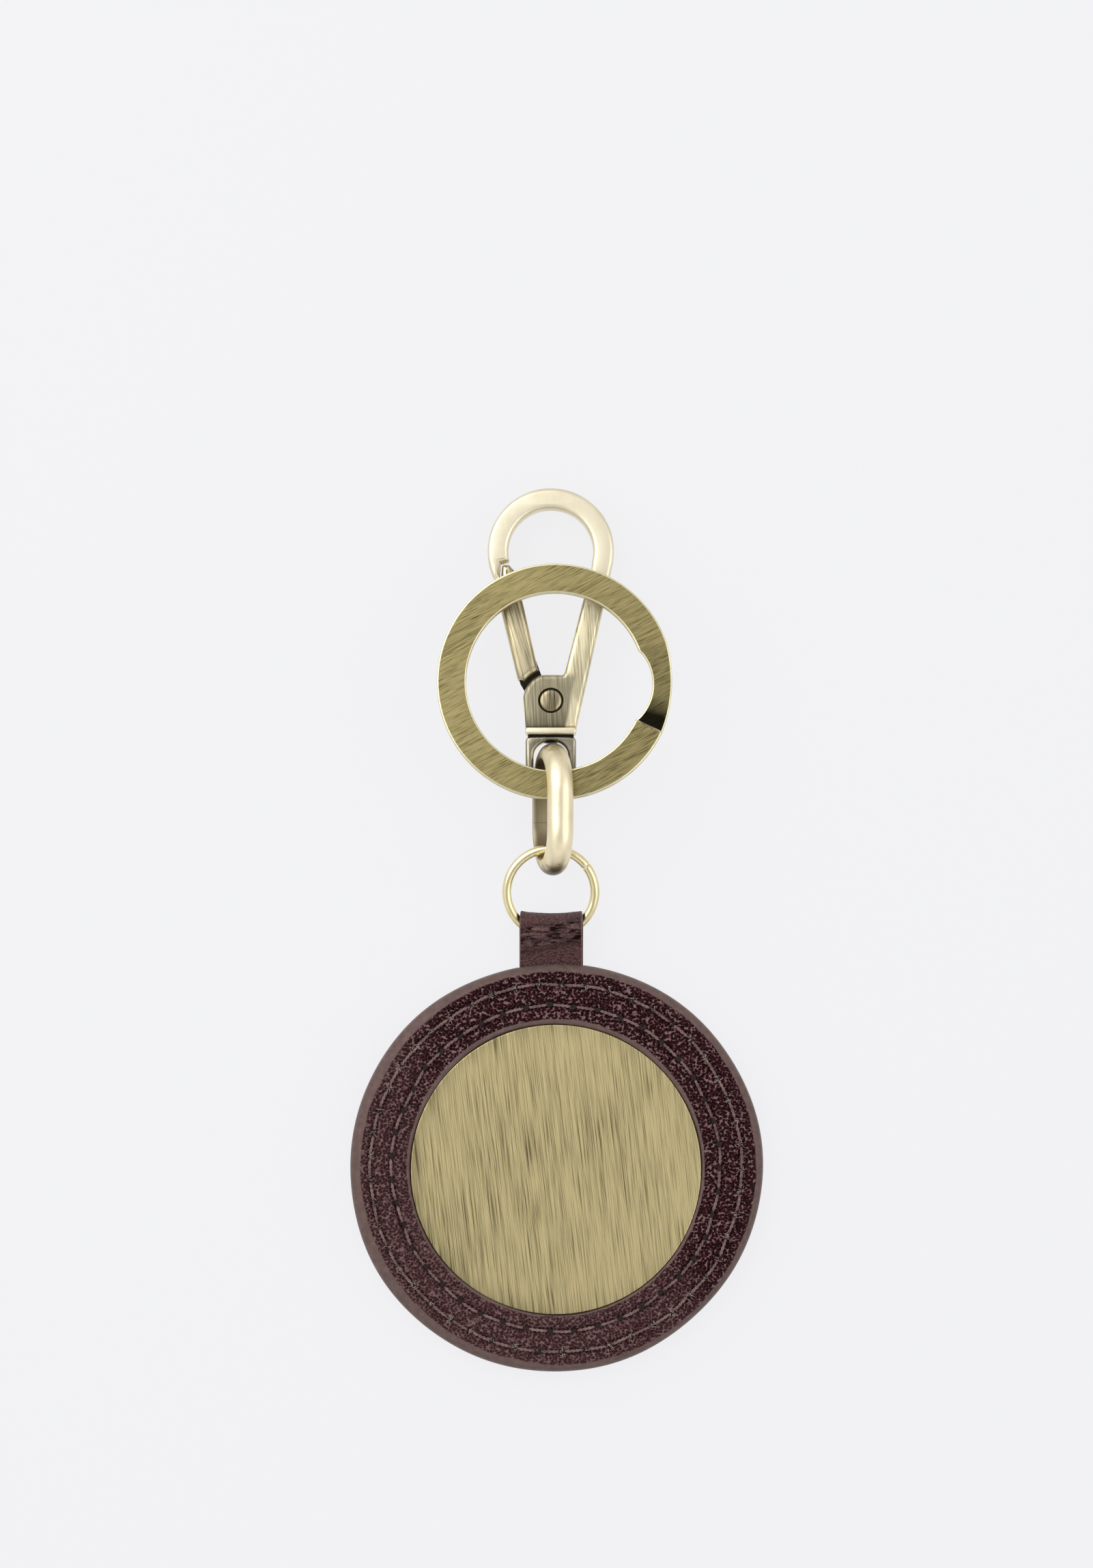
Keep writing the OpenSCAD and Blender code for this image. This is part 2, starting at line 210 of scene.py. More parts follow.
def leather(name, mask=None, paint=srgb(97, 81, 77), grain=1.0, wrinkle=False):
    """Pebbled leather with a burgundy depth; mask(m) gives 1 where the cut edge is painted taupe."""
    m = Mat(name)
    warp = m.noise(m.mapping((500, 500, 500)), 1, 3, 0.6)
    cell = m.voronoi(m.mapping((3300, 3700, 3500)), 1, "SMOOTH_F1", 0.35)
    cell2 = m.voronoi(m.mapping((5600, 6200, 5900), loc=(3, 1, 2)), 1, "F1")
    fine = m.noise(m.mapping((7000, 7000, 7000)), 1, 3, 0.65)
    big = m.noise(m.mapping((55, 55, 55), loc=(0.3, 1.7, 0)), 1, 3, 0.5)
    sep = m.n.new("ShaderNodeSeparateXYZ")
    m.l.new(m.co, sep.inputs[0])
    lean = m.math("ADD", m.math("MULTIPLY", sep.outputs[0], -12.0), m.math("MULTIPLY", sep.outputs[1], -15.0))
    net = m.math("ADD", m.math("MULTIPLY", cell, 0.85), m.math("MULTIPLY", cell2, 0.15))
    net = m.math("ADD", net, m.math("MULTIPLY", warp, 0.22))
    net = m.math("ADD", net, m.math("MULTIPLY", fine, 0.14))
    h = m.math("MULTIPLY", net, -0.8)
    # tone: the grain's own colour, whose light end on the network between the pebbles stands in for the highlights seen
    # there (painted highlight)
    tone = m.ramp(net, [(0.58, srgb(8, 0, 1)), (0.72, srgb(44, 10, 16)), (0.80, srgb(66, 37, 41)), (0.92, srgb(120, 98, 98))])
    # pale_tone is a lighter grain tone; on the fob it comes in through random patches and a painted sheen that grows
    # towards the lower left (lean), on the strap it is mixed in evenly
    pale_tone = m.ramp(net, [(0.56, srgb(50, 26, 29)), (0.70, srgb(76, 53, 54)), (0.80, srgb(86, 65, 65)), (0.94, srgb(108, 88, 86))])
    sheen_and_patches = m.ramp(m.math("ADD", m.math("ADD", big, lean), 0.0), [(0.36, 0.0), (0.80, 1.0)])
    col = m.mix(0.8 if wrinkle else m.math("MULTIPLY", sheen_and_patches, 0.85), tone, pale_tone)
    sx = m.math("MULTIPLY", sep.outputs[0], 1.0 / WIDE)
    rad_xy = m.math("SQRT", m.math("ADD", m.math("MULTIPLY", sx, sx), m.math("MULTIPLY", sep.outputs[1], sep.outputs[1])))
    # painted shade in the stitch grooves: the leather darkens along both rows
    for row in (ROW_OUT, ROW_IN):
        off = m.math("ABSOLUTE", m.math("SUBTRACT", rad_xy, row * MM))
        groove = m.math("SUBTRACT", 1.0, m.math("MULTIPLY", off, 1700), True)
        col = m.mix(m.math("MULTIPLY", groove, 0.75), col, srgb(24, 4, 8))
    r = m.math("ADD", m.math("MULTIPLY", fine, 0.16), m.math("ADD", m.math("MULTIPLY", cell, 0.12), 0.24))
    height = h
    if wrinkle:
        col = m.mix(0.5, col, srgb(98, 78, 77))
        wv = m.noise(m.mapping((620, 2300, 900), (0, 0, rad(-30))), 1, 4, 0.62, 0.6)
        y = m.math("ADD", sep.outputs[1], m.math("MULTIPLY", m.math("SUBTRACT", big, 0.5), 0.0012))
        y = m.math("ADD", y, m.math("MULTIPLY", sep.outputs[0], -0.16))
        band = m.math("MULTIPLY", m.math("MULTIPLY", m.math("SUBTRACT", y, 0.0278), 1100, True), m.math("MULTIPLY", m.math("SUBTRACT", 0.0316, y), 1500, True))
        col = m.mix(m.math("SUBTRACT", 1.0, band), col, m.mix(m.math("SUBTRACT", 1.0, cell), srgb(50, 26, 27), srgb(98, 75, 73)))
        # painted shade in the troughs of the creases
        col = m.mix(m.math("MULTIPLY", band, m.ramp(wv, [(0.42, 1.0), (0.52, 0.0)])), col, srgb(14, 0, 2))
        # painted highlight on the crease ridges
        col = m.mix(m.math("MULTIPLY", band, m.ramp(wv, [(0.54, 0.0), (0.64, 0.9)])), col, srgb(122, 94, 90))
        height = m.math("ADD", m.math("MULTIPLY", height, 0.7), m.math("MULTIPLY", m.math("MULTIPLY", wv, 2.4), band))
    nrm = m.bump(height, 0.00050 * grain, 1.0, None)
    if mask:
        k = mask(m)
        pn = m.noise(m.mapping((1300, 1300, 1300)), 1, 4, 0.6)
        pcol = m.ramp(pn, [(0.3, tuple(c * 0.72 for c in paint)), (0.62, paint), (0.8, tuple(min(1, c * 1.25) for c in paint))])
        col = m.mix(k, col, pcol)
        r = m.math("ADD", m.math("MULTIPLY", r, m.math("SUBTRACT", 1.0, k)), m.math("MULTIPLY", k, 0.42))
        flat = m.bump(m.math("ADD", pn, m.math("MULTIPLY", fine, 0.4)), 0.00004, 0.6)
        mx = m.n.new("ShaderNodeMix")
        mx.data_type = "VECTOR"
        m.l.new(k, mx.inputs[0]); m.l.new(nrm, mx.inputs[4]); m.l.new(flat, mx.inputs[5])
        nrm = mx.outputs[1]
    return m.out(Base_Color=col, Roughness=r, Normal=nrm, Specular_IOR_Level=0.16, Specular_Tint=(1.0, 0.52, 0.54, 1.0))


def radial_mask(inner_edge, outer_edge):
    """1 inside inner_edge and outside outer_edge, with a slightly uneven border."""
    def f(m):
        s = m.n.new("ShaderNodeSeparateXYZ")
        m.l.new(m.co, s.inputs[0])
        r = m.math("SQRT", m.math("ADD", m.math("POWER", m.math("ABSOLUTE", s.outputs[0]), 2), m.math("POWER", m.math("ABSOLUTE", s.outputs[1]), 2)))
        wob = m.math("MULTIPLY", m.math("SUBTRACT", m.noise(m.mapping((350, 350, 350)), 1, 4, 0.6), 0.5), 0.0005)
        r = m.math("ADD", r, wob)
        wide = m.math("ADD", m.math("MULTIPLY", s.outputs[0], -0.011), m.math("MULTIPLY", m.math("ABSOLUTE", s.outputs[1]), 0.007))
        a = m.math("MULTIPLY", m.math("SUBTRACT", m.math("ADD", r, wide), outer_edge), 6000, True)
        b = m.math("MULTIPLY", m.math("SUBTRACT", inner_edge, r), 9000, True)
        side = m.math("MULTIPLY", m.math("SUBTRACT", 0.00335, s.outputs[2]), 0, True)
        return m.math("ADD", m.math("ADD", a, b), side, True)
    return f


def strap_mask(m):
    s = m.n.new("ShaderNodeSeparateXYZ")
    m.l.new(m.co, s.inputs[0])
    x = m.math("ABSOLUTE", m.math("SUBTRACT", s.outputs[0], CHAIN * MM))
    wob = m.math("MULTIPLY", m.math("SUBTRACT", m.noise(m.mapping((500, 500, 500)), 1, 3, 0.6), 0.5), 0.0002)
    return m.math("MULTIPLY", m.math("SUBTRACT", m.math("ADD", x, wob), 0.00378), 9000, True)


def thread_mat(name, a, b):
    m = Mat(name)
    f = m.noise(m.mapping((9000, 9000, 9000)), 1, 3, 0.7)
    g = m.noise(m.mapping((700, 700, 700)), 1, 2, 0.5)
    col = m.ramp(m.math("ADD", m.math("MULTIPLY", f, 0.6), m.math("MULTIPLY", g, 0.4)), [(0.35, a), (0.62, b)])
    return m.out(Base_Color=col, Roughness=0.55, Normal=m.bump(f, 0.00004, 0.7), Specular_IOR_Level=0.25)


def ring_shade(m):
    """Painted shadow on the strip just before the cut end, where the two turns meet and it dips under the other turn.
    """
    s = m.n.new("ShaderNodeSeparateXYZ")
    m.l.new(m.co, s.inputs[0])
    c = KEY.translation * MM
    dx, dy = m.math("SUBTRACT", s.outputs[0], c.x), m.math("SUBTRACT", s.outputs[1], c.y)
    a = m.math("ARCTAN2", dy, dx)
    a = m.math("ADD", a, m.math("MULTIPLY", m.math("SUBTRACT", m.noise(m.mapping((700, 700, 700)), 1, 3, 0.6), 0.5), 0.05))
    near = m.math("MULTIPLY", m.math("SUBTRACT", rad(-5.0), a), 1 / rad(13.0), True)
    past = m.math("MULTIPLY", m.math("SUBTRACT", a, rad(-25.3)), 200.0, True)
    return m.math("MULTIPLY", m.math("MULTIPLY", m.math("POWER", near, 1.1), past), 0.97)


def link_shade(m):
    """The link darkens at its two tips and on its lower arm: painted shade where the far tip sits in the eye's hole,
    and on the lower arm, which lies under the upper one.
    """
    s = m.n.new("ShaderNodeSeparateXYZ")
    m.l.new(m.co, s.inputs[0])
    w = m.math("MULTIPLY", m.math("SUBTRACT", m.noise(m.mapping((900, 500, 900)), 1, 4, 0.65), 0.5), 0.0022)
    y = m.math("ADD", s.outputs[1], w)
    near = m.math("MULTIPLY", m.math("SUBTRACT", 0.0389, y), 950, True)
    far = m.math("MULTIPLY", m.math("SUBTRACT", y, 0.0531), 1300, True)
    low = m.math("MULTIPLY", m.math("SUBTRACT", 0.0062, s.outputs[2]), 260, True)
    a = m.math("ADD", m.math("MULTIPLY", near, 0.85), m.math("MULTIPLY", far, 0.75), True)
    return m.math("ADD", a, m.math("MULTIPLY", low, 0.74), True)


def disc_shade(m):
    """Painted shade from the leather window's edge: the disc darkens towards its rim, most on the left."""
    s = m.n.new("ShaderNodeSeparateXYZ")
    m.l.new(m.co, s.inputs[0])
    r = m.math("SQRT", m.math("ADD", m.math("MULTIPLY", s.outputs[0], s.outputs[0]), m.math("MULTIPLY", s.outputs[1], s.outputs[1])))
    w = m.math("MULTIPLY", m.math("SUBTRACT", m.noise(m.mapping((300, 90, 300)), 1, 3, 0.6), 0.5), 0.0035)
    k = m.math("MULTIPLY", m.math("SUBTRACT", m.math("ADD", r, w), 0.0158), 330, True)
    side = m.math("ADD", m.math("MULTIPLY", s.outputs[0], -16.0), 0.42, True)
    return m.math("MULTIPLY", m.math("MULTIPLY", m.math("POWER", k, 1.6), side), 0.55)


def arm_shade_and_patina(m):
    """Painted shade on both arms where they pass under the key ring, and a little darker finish at their roots."""
    s = m.n.new("ShaderNodeSeparateXYZ")
    m.l.new(m.co, s.inputs[0])
    w = m.math("MULTIPLY", m.math("SUBTRACT", m.noise(m.mapping((1300, 260, 900), loc=(2, 5, 1)), 1, 4, 0.65), 0.5), 0.0060)
    y = m.math("ADD", m.math("SUBTRACT", s.outputs[1], HOOK_Y * MM), w)
    band = m.math("SUBTRACT", 1.0, m.math("MULTIPLY", m.math("ABSOLUTE", m.math("SUBTRACT", y, 0.0122)), 330), True)
    root = m.math("MULTIPLY", m.math("SUBTRACT", 0.0074, y), 240, True)
    root = m.math("MULTIPLY", root, m.math("MULTIPLY", m.math("ADD", y, 0.0005), 800, True))
    return m.math("ADD", m.math("MULTIPLY", band, 0.46), m.math("MULTIPLY", root, 0.26), True)


def plate_shade(m):
    """The hook's plate has kept more of its dark finish than the arms, down to a slanting line on its right."""
    s = m.n.new("ShaderNodeSeparateXYZ")
    m.l.new(m.co, s.inputs[0])
    y = m.math("SUBTRACT", s.outputs[1], HOOK_Y * MM)
    x = m.math("SUBTRACT", s.outputs[0], CHAIN * MM)
    w = m.math("MULTIPLY", m.math("SUBTRACT", m.noise(m.mapping((1800, 300, 900)), 1, 3, 0.6), 0.5), 0.0014)
    top = m.math("MULTIPLY", m.math("SUBTRACT", 0.0040, m.math("ADD", y, w)), 900, True)
    edge = m.math("ADD", m.math("MULTIPLY", y, 0.20), 0.0027)
    right = m.math("MULTIPLY", m.math("SUBTRACT", edge, m.math("ADD", x, m.math("MULTIPLY", w, 0.3))), 2600, True)
    foot = m.math("MULTIPLY", m.math("SUBTRACT", -0.0010, y), 330, True)
    plate = m.math("MULTIPLY", m.math("MULTIPLY", top, right), m.math("ADD", 0.57, m.math("MULTIPLY", foot, 0.24)))
    # the arms' painted shade under the key ring and their darker roots count here too
    return m.math("MAXIMUM", plate, arm_shade_and_patina(m))


M_DISC = brushed("disc_brass", rad(-6.5), srgb(228, 211, 158), srgb(98, 89, 62), 0.38, 1.25, 9.0, shade=disc_shade, freq=1.4)
M_RING_EDGE = polished("ring_edge_brass", srgb(224, 216, 180), srgb(160, 148, 104), 0.32, 0.35)
M_RING = brushed("ring_brass", rad(62), srgb(195, 180, 125), srgb(72, 64, 40), 0.30, 1.0, 3.0, shade=ring_shade, relief=0.000006, freq=1.35)
M_PLATE = brushed("plate_brass", rad(-2), srgb(188, 176, 142), srgb(56, 50, 38), 0.28, 1.0, 4.0)
M_HOOK = brushed("hook_brass", rad(-3), srgb(255, 245, 210), srgb(150, 135, 96), 0.38, 0.9, 5.0, shade=plate_shade, relief=0.000006)
M_GATE = brushed("gate_brass", rad(-16), srgb(236, 223, 186), srgb(112, 101, 70), 0.34, 1.1, 5.0, shade=arm_shade_and_patina, relief=0.000006)
M_ARM = polished("hook_arm_brass", srgb(232, 223, 198), srgb(170, 158, 120), 0.36, 0.3, shade=arm_shade_and_patina, lined=0.15)
M_LINK = polished("link_brass", srgb(240, 228, 196), srgb(150, 134, 94), 0.33, 0.3, shade=link_shade, lined=0.25)
M_JUMP = polished("jump_brass", srgb(236, 222, 176), srgb(120, 104, 56), 0.16, 0.35)
M_EYE = polished("eye_dark", srgb(172, 165, 146), srgb(36, 33, 27), 0.18, 0.65)
# dark oxide for the link's seam and the rivet groove, also used as painted shade for the gate tang, the swivel post and
# the gap under the base bar
M_OXIDE_AND_SHADE = polished("oxide", srgb(34, 31, 25), srgb(12, 11, 9), 0.4, 0.5)
M_STEEL = polished("spring_steel", srgb(190, 190, 188), srgb(90, 90, 90), 0.25, 0.4)
M_FRONT = leather("fob_front_mat", radial_mask(0.01900, 0.02508))
M_BACK = leather("fob_back_mat", radial_mask(0.0, 0.02522))
M_STRAP = leather("strap_mat", strap_mask, wrinkle=True)
M_PAINT = leather("edge_paint_mat", lambda m: m.math("ADD", 1.0, 0.0, True))
M_THREAD = thread_mat("thread_mat", srgb(66, 44, 44), srgb(128, 104, 101))
M_FUZZ = thread_mat("fuzz_mat", srgb(130, 106, 100), srgb(186, 164, 154))
# needle holes: near-black, painted shade inside the holes
M_HOLE = thread_mat("needle_hole_mat", srgb(10, 4, 5), srgb(26, 12, 13))


def board_mat():
    m = Mat("board_mat")
    f = m.noise(m.mapping((2500, 2500, 9000)), 1, 4, 0.7)
    return m.out(Base_Color=m.ramp(f, [(0.3, srgb(96, 74, 58)), (0.7, srgb(150, 124, 100))]), Roughness=0.85, Normal=m.bump(f, 0.00006, 0.6))


# ---------------------------------------------------------------- mesh helpers
def finish_mesh(me, mats, smooth, angle):
    bm = bmesh.new()
    bm.from_mesh(me)
    bmesh.ops.remove_doubles(bm, verts=bm.verts, dist=1e-8)
    bmesh.ops.recalc_face_normals(bm, faces=bm.faces)
    bm.to_mesh(me)
    bm.free()
    for m in mats:
        me.materials.append(m)
    if smooth:
        me.polygons.foreach_set("use_smooth", [True] * len(me.polygons))
        if angle:
            me.set_sharp_from_angle(angle=rad(angle))


def add(name, verts, faces, mats, body, node=None, slot=None, matrix=None, smooth=True, angle=0):
    me = bpy.data.meshes.new(name)
    mt = matrix or Matrix.Identity(4)
    me.from_pydata([(mt @ Vector(v)) * MM for v in verts], [], faces)
    if not isinstance(mats, (list, tuple)):
        mats = [mats]
    finish_mesh(me, mats, smooth, angle)
    ob = bpy.data.objects.new(name, me)
    bpy.context.scene.collection.objects.link(ob)
    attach(ob, body)
    if node:
        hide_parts(*([node] if isinstance(node, str) else node))
    return ob


def tube(rows, close_u=False, caps=True):
    """rows of rings -> verts, faces. close_u joins the last row to the first."""
    n = len(rows[0])
    v = [p for r in rows for p in r]
    f = []
    k = len(rows)
    for i in range(k if close_u else k - 1):
        j = (i + 1) % k
        for a in range(n):
            b = (a + 1) % n
            f.append((i * n + a, j * n + a, j * n + b, i * n + b))
    if caps and not close_u:
        f.append(tuple(range(n - 1, -1, -1)))
        f.append(tuple((k - 1) * n + a for a in range(n)))
    return v, f


def merge(parts):
    v, f = [], []
    for pv, pf in parts:
        o = len(v)
        v += pv
        f += [tuple(i + o for i in q) for q in pf]
    return v, f


def plate(outline, t, bevel, res=4, holes=()):
    """A flat plate with rounded edges, from a closed 2D outline in mm, centred on z=0."""
    cu = bpy.data.curves.new("tmp", "CURVE")
    cu.dimensions, cu.fill_mode = "2D", "BOTH"
    for pts in [outline, *holes]:
        sp = cu.splines.new("POLY")
        sp.points.add(len(pts) - 1)
        for p, q in zip(sp.points, pts):
            p.co = (q[0], q[1], 0, 1)
        sp.use_cyclic_u = True
    cu.extrude, cu.bevel_depth, cu.bevel_resolution, cu.offset = t / 2 - bevel, bevel, res, -bevel
    ob = bpy.data.objects.new("tmp", cu)
    bpy.context.scene.collection.objects.link(ob)
    dg = bpy.context.evaluated_depsgraph_get()
    me = bpy.data.meshes.new_from_object(ob.evaluated_get(dg))
    bpy.data.objects.remove(ob)
    bpy.data.curves.remove(cu)
    return [tuple(v.co) for v in me.vertices], [tuple(p.vertices) for p in me.polygons]


def arc(cx, cy, r, a0, a1, n):
    return [(cx + r * cos(rad(a0 + (a1 - a0) * i / n)), cy + r * sin(rad(a0 + (a1 - a0) * i / n))) for i in range(n + 1)]


def cut(ob, verts, faces, matrix):
    """Takes a solid cutter out of ob, once, exactly."""
    me = bpy.data.meshes.new("cutter")
    me.from_pydata([(matrix @ Vector(v)) * MM * 1000 for v in verts], [], faces)
    me.transform(Matrix.Scale(MM, 4))
    bm = bmesh.new(); bm.from_mesh(me); bmesh.ops.recalc_face_normals(bm, faces=bm.faces); bm.to_mesh(me); bm.free()
    c = bpy.data.objects.new("cutter", me)
    bpy.context.scene.collection.objects.link(c)
    md = ob.modifiers.new("cut", "BOOLEAN")
    md.object, md.operation, md.solver = c, "DIFFERENCE", "EXACT"
    dg = bpy.context.evaluated_depsgraph_get()
    new = bpy.data.meshes.new_from_object(ob.evaluated_get(dg))
    ob.modifiers.remove(md)
    old = ob.data
    ob.data = new
    bpy.data.objects.remove(c)
    bpy.data.meshes.remove(old)


def prism(pts, z0, z1):
    n = len(pts)
    v = [(x, y, z0) for x, y in pts] + [(x, y, z1) for x, y in pts]
    f = [tuple(range(n - 1, -1, -1)), tuple(range(n, 2 * n))]
    f += [(i, (i + 1) % n, n + (i + 1) % n, n + i) for i in range(n)]
    return v, f


# ---------------------------------------------------------------- fob
def rows_of(r):
    c = round(2 * pi * r / PITCH)
    return c, [(k * 2 * pi / c) for k in range(c)]


def pull(r, th):
    """How deep thread tension and needle holes pull the leather at a point, in mm."""
    d = 0.0
    for row in (ROW_OUT, ROW_IN):
        if abs(r - row) > 1.1:
            continue
        c, _ = rows_of(row)
        step = 2 * pi / c
        k = round(th / step)
        a = (th - k * step) * row
        d += 0.07 * math.exp(-((r - row) / 0.45) ** 2)
        d += 0.30 * math.exp(-(((r - row) ** 2 + a * a) / 0.10))
    return d


def wobble(th):
    """The hand-cut outline is not a true circle."""
    return 0.10 * sin(2 * th + 0.3) + 0.06 * sin(3 * th + 1.1) + 0.05 * sin(5 * th + 2.0) + 0.03 * sin(9 * th)


def lathe_leather(name, prof, n, mat, body, node, front):
    rows = []
    for i in range(n):
        th = 2 * pi * i / n
        ring = []
        for r, z, skin in prof:
            rr = r
            if r > 24.6:
                rr = r + wobble(th) * min(1, (r - 24.6) / 0.9)
            if r < 19.0 and front:
                rr = r + 0.05 * sin(4 * th + 0.7) + 0.03 * sin(7 * th)
            zz = z
            if skin:
                s = -1 if front else 1
                zz = z + s * pull(r, th) * skin
                zz += skin * 0.035 * noise.noise(Vector((r * cos(th) * 0.45, r * sin(th) * 0.45, 3.0 if front else 9.0)))
                zz += skin * 0.02 * noise.noise(Vector((r * cos(th) * 1.6, r * sin(th) * 1.6, 5.0)))
            near = max(0.0, min(1.0, (20.0 - r) / 1.2)) if front else 0
            ring.append((rr * cos(th) * (WIDE if r > 19.2 or not front else 1.0 + (WIDE - 1) * 0.3), rr * sin(th) - DROP * near, zz))
        rows.append(ring)
    v, f = tube(rows, close_u=True)
    return add(name, v, f, mat, body, node, "leather")


def face_profile():
    """Radius and height of the front leather's outside, from the window's edge to the rim, in mm."""
    p = [(WIN, 2.42, 0), (WIN, 2.8, 0), (WIN, 3.12, 0), (WIN + 0.06, 3.32, 0), (WIN + 0.16, 3.46, 0), (WIN + 0.3, 3.55, 0.3), (WIN + 0.48, 3.60, 0.6)]
    r = WIN + 0.7
    while r < 24.75:
        z = 3.60 + 0.07 * sin(pi * (r - 19.1) / (ROW_IN - 19.1)) * (r < ROW_IN) + 0.08 * sin(pi * (r - ROW_IN) / (ROW_OUT - ROW_IN)) * (ROW_IN < r < ROW_OUT)
        if r > ROW_OUT:
            z = 3.60 + 0.03 * sin(pi * (r - ROW_OUT) / 1.5)
        p.append((r, z, 1))
        near = min(abs(r - ROW_IN), abs(r - ROW_OUT))
        r += 0.09 if near < 0.7 else 0.22
    p += [(24.85, 3.58, 0.8), (25.1, 3.50, 0.5), (25.35, 3.38, 0.3), (25.57, 3.20, 0.1), (25.75, 2.98, 0), (25.88, 2.72, 0), (25.94, 2.5, 0), (25.93, 2.41, 0), (25.6, 2.405, 0)]
    return p


prof = face_profile()
N = 960
lathe_leather("fob_front_skin", prof, N, M_FRONT, "fob", "fob_front_leather", True)
back = [(0.01, 0.0, 0)] + [(r, 0.0, 0) for r in (4, 8, 12, 16, 19)]
back = [(0.02, 1.19, 0), (25.6, 1.195, 0), (25.93, 1.19, 0), (25.94, 1.05, 0), (25.88, 0.8, 0), (25.75, 0.56, 0), (25.57, 0.36, 0), (25.35, 0.2, 0.1), (25.1, 0.09, 0.3), (24.85, 0.03, 0.5)]
r = 24.6
while r > 19.4:
    back.append((r, 0.02, 0.9))
    r -= 0.12 if min(abs(r - ROW_IN), abs(r - ROW_OUT)) < 0.7 else 0.3
back += [(r, 0.02, 0.7) for r in (18.5, 17.5, 16, 14, 12, 10, 8, 6, 4, 2, 1)] + [(0.02, 0.02, 0.5)]
lathe_leather("fob_back_skin", back, 720, M_BACK, "fob", "fob_back_leather", False)

# painted edge between the two skins, open where the strap goes in
gap = math.asin((STRAP_W / 2 + 0.1) / 25.9)
mid = pi / 2 + 0.025
rows = []
for i in range(400):
    th = mid + gap + (2 * pi - 2 * gap) * i / 399
    w = wobble(th)
    rows.append([(rr * cos(th) * WIDE, rr * sin(th), z) for rr, z in ((25.62, 1.2), (25.93 + w, 1.2), (25.99 + w, 1.5), (26.0 + w, 1.8), (25.99 + w, 2.1), (25.93 + w, 2.4), (25.62, 2.4))])
add("fob_edge_paint", *tube(rows), M_PAINT, "fob", None, "leather", angle=40)


def thread_stitch(r0, r1, th0, th1, top, seed):
    """One stitch: two plies twisted round each other, from needle hole to needle hole."""
    parts = []
    rr = random.Random(seed)
    shift = rr.uniform(-0.05, 0.05)
    rise = 0.12 + rr.uniform(-0.02, 0.04)
    for ply in (0, 1):
        rows = []
        steps = 14
        for i in range(steps + 1):
            t = i / steps
            th = th0 + (th1 - th0) * (0.085 + 0.83 * t)
            base = r0 + (r1 - r0) * t + shift * sin(pi * t)
            dip = math.exp(-(t / 0.10) ** 2) + math.exp(-((1 - t) / 0.10) ** 2)
            lift = rise - 0.40 * dip
            tw = 2 * pi * 2.2 * t + ply * pi
            o = 0.095 * (1 - 0.5 * dip)
            ra = 0.13 * (1 - 0.3 * dip)
            ring = []
            for k in range(7):
                a = 2 * pi * k / 7
                dr = o * cos(tw) + ra * cos(a)
                dz = o * 0.7 * sin(tw) + ra * sin(a)
                z = top + (lift + dz) if top > 1 else top - (lift + dz)
                ring.append(((base + dr) * cos(th) * WIDE, (base + dr) * sin(th), z))
            rows.append(ring)
        parts.append(tube(rows))
    return merge(parts)


jit = {row: [rnd.gauss(0, 0.09) for _ in range(rows_of(row)[0])] for row in (ROW_OUT, ROW_IN)}
for name, row, node in (("outer_thread", ROW_OUT, "outer_stitching"), ("inner_thread", ROW_IN, "inner_stitching")):
    c, ths = rows_of(row)
    parts = []
    for k in range(c):
        ra, rb = row + jit[row][k], row + jit[row][(k + 1) % c]
        parts.append(thread_stitch(ra, rb, ths[k], ths[k] + 2 * pi / c, 3.56, k * 7 + int(row)))
        parts.append(thread_stitch(ra, rb, ths[k], ths[k] + 2 * pi / c, 0.16, k * 11 + int(row)))
    add(name, *merge(parts), M_THREAD, "fob", node, "thread")

# needle holes: dark plugs whose colour stands for the shade inside each hole (painted shade)
parts = []
for row in (ROW_OUT, ROW_IN):
    c, ths = rows_of(row)
    for k, th in enumerate(ths):
        q = row + jit[row][k]
        px, py = q * cos(th) * WIDE, q * sin(th)
        ra, rb, ph = rnd.uniform(0.34, 0.46), rnd.uniform(0.24, 0.34), th + pi / 2 + rnd.gauss(0, 0.4)
        rim = []
        for n in range(10):
            a = 2 * pi * n / 10
            u, w = ra * cos(a) * rnd.uniform(0.85, 1.15), rb * sin(a) * rnd.uniform(0.85, 1.15)
            rim.append((px + u * cos(ph) - w * sin(ph), py + u * sin(ph) + w * cos(ph)))
        parts.append(tube([[(x, y, 3.1) for x, y in rim], [(x, y, 3.54) for x, y in rim]]))
add("needle_holes", *merge(parts), M_HOLE, "fob", None, "thread", smooth=False)

# loose fibres at the needle holes of the outer row
parts = []
c, ths = rows_of(ROW_OUT)
for k, th in enumerate(ths):
    side = 0.50 + 0.80 * max(0, cos(th - rad(165))) + 0.55 * max(0, cos(th - rad(-10))) + 0.45 * max(0, cos(th - rad(-95)))
    tuft = rnd.uniform(0.2, 1.4)
    q = ROW_OUT + jit[ROW_OUT][k]
    for j in range(int(13 * side * tuft)):
        a = th + rnd.choice((0, pi)) + rnd.gauss(0, 0.8)
        L = rnd.uniform(0.18, 0.62)
        px, py = q * cos(th) * WIDE + rnd.gauss(0, 0.20), q * sin(th) + rnd.gauss(0, 0.26)
        bend = rnd.uniform(-1.6, 1.6)
        z0 = 3.54 + rnd.uniform(0, 0.1)
        up = rnd.uniform(0.0, 0.22)
        rows = []
        x, y = px, py
        for i in range(5):
            t = i / 4
            ra = 0.043 * (1 - 0.6 * t)
            z = z0 + up * sin(pi * 0.6 * t)
            d = a + bend * t
            nx, ny = -sin(d), cos(d)
            rows.append([(x + nx * ra, y + ny * ra, z), (x, y, z + ra * 1.4), (x - nx * ra, y - ny * ra, z)])
            x += cos(d) * L / 4
            y += sin(d) * L / 4
        parts.append(tube(rows))
add("thread_fuzz", *merge(parts), M_FUZZ, "fob", None, "thread")

